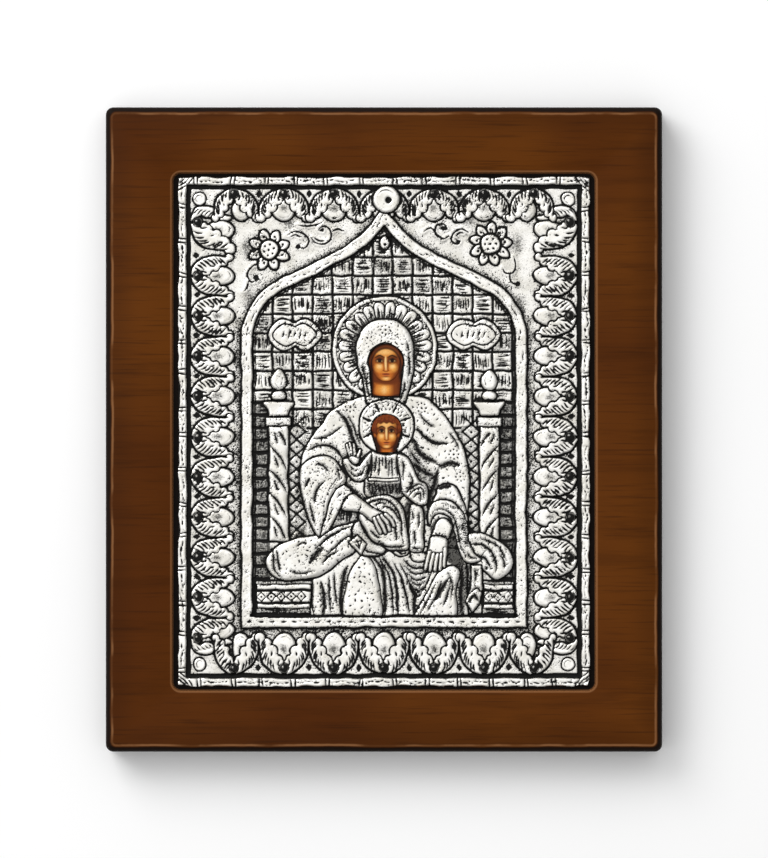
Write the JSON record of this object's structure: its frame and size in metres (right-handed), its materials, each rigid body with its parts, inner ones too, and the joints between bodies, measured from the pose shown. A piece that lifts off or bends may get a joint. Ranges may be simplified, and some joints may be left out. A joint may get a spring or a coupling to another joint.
{
  "type": "icon panel",
  "caption": "Upright wooden icon panel with a recessed embossed silver cover: a mother and child enthroned under an ogee arch inside a leaf border, their painted faces showing through it.",
  "frame": {"origin": "middle of the board's flat back", "axes": "the panel lies on its back: +X to the right and +Y to the top of the picture, +Z out of its face"},
  "size_m": [0.259, 0.3, 0.0218],
  "materials": {
    "wood": "dark brown stain under a satin varnish, edges nearly black",
    "silver": "embossed and polished, with blackened hollows",
    "painted_face": "painted in warm ochres and browns under a gloss varnish"
  },
  "bodies": {
    "root": {"wood_panel": "wood", "silver_cover": "silver", "mother_face": "painted_face", "child_face": "painted_face"}
  },
  "joints": []
}
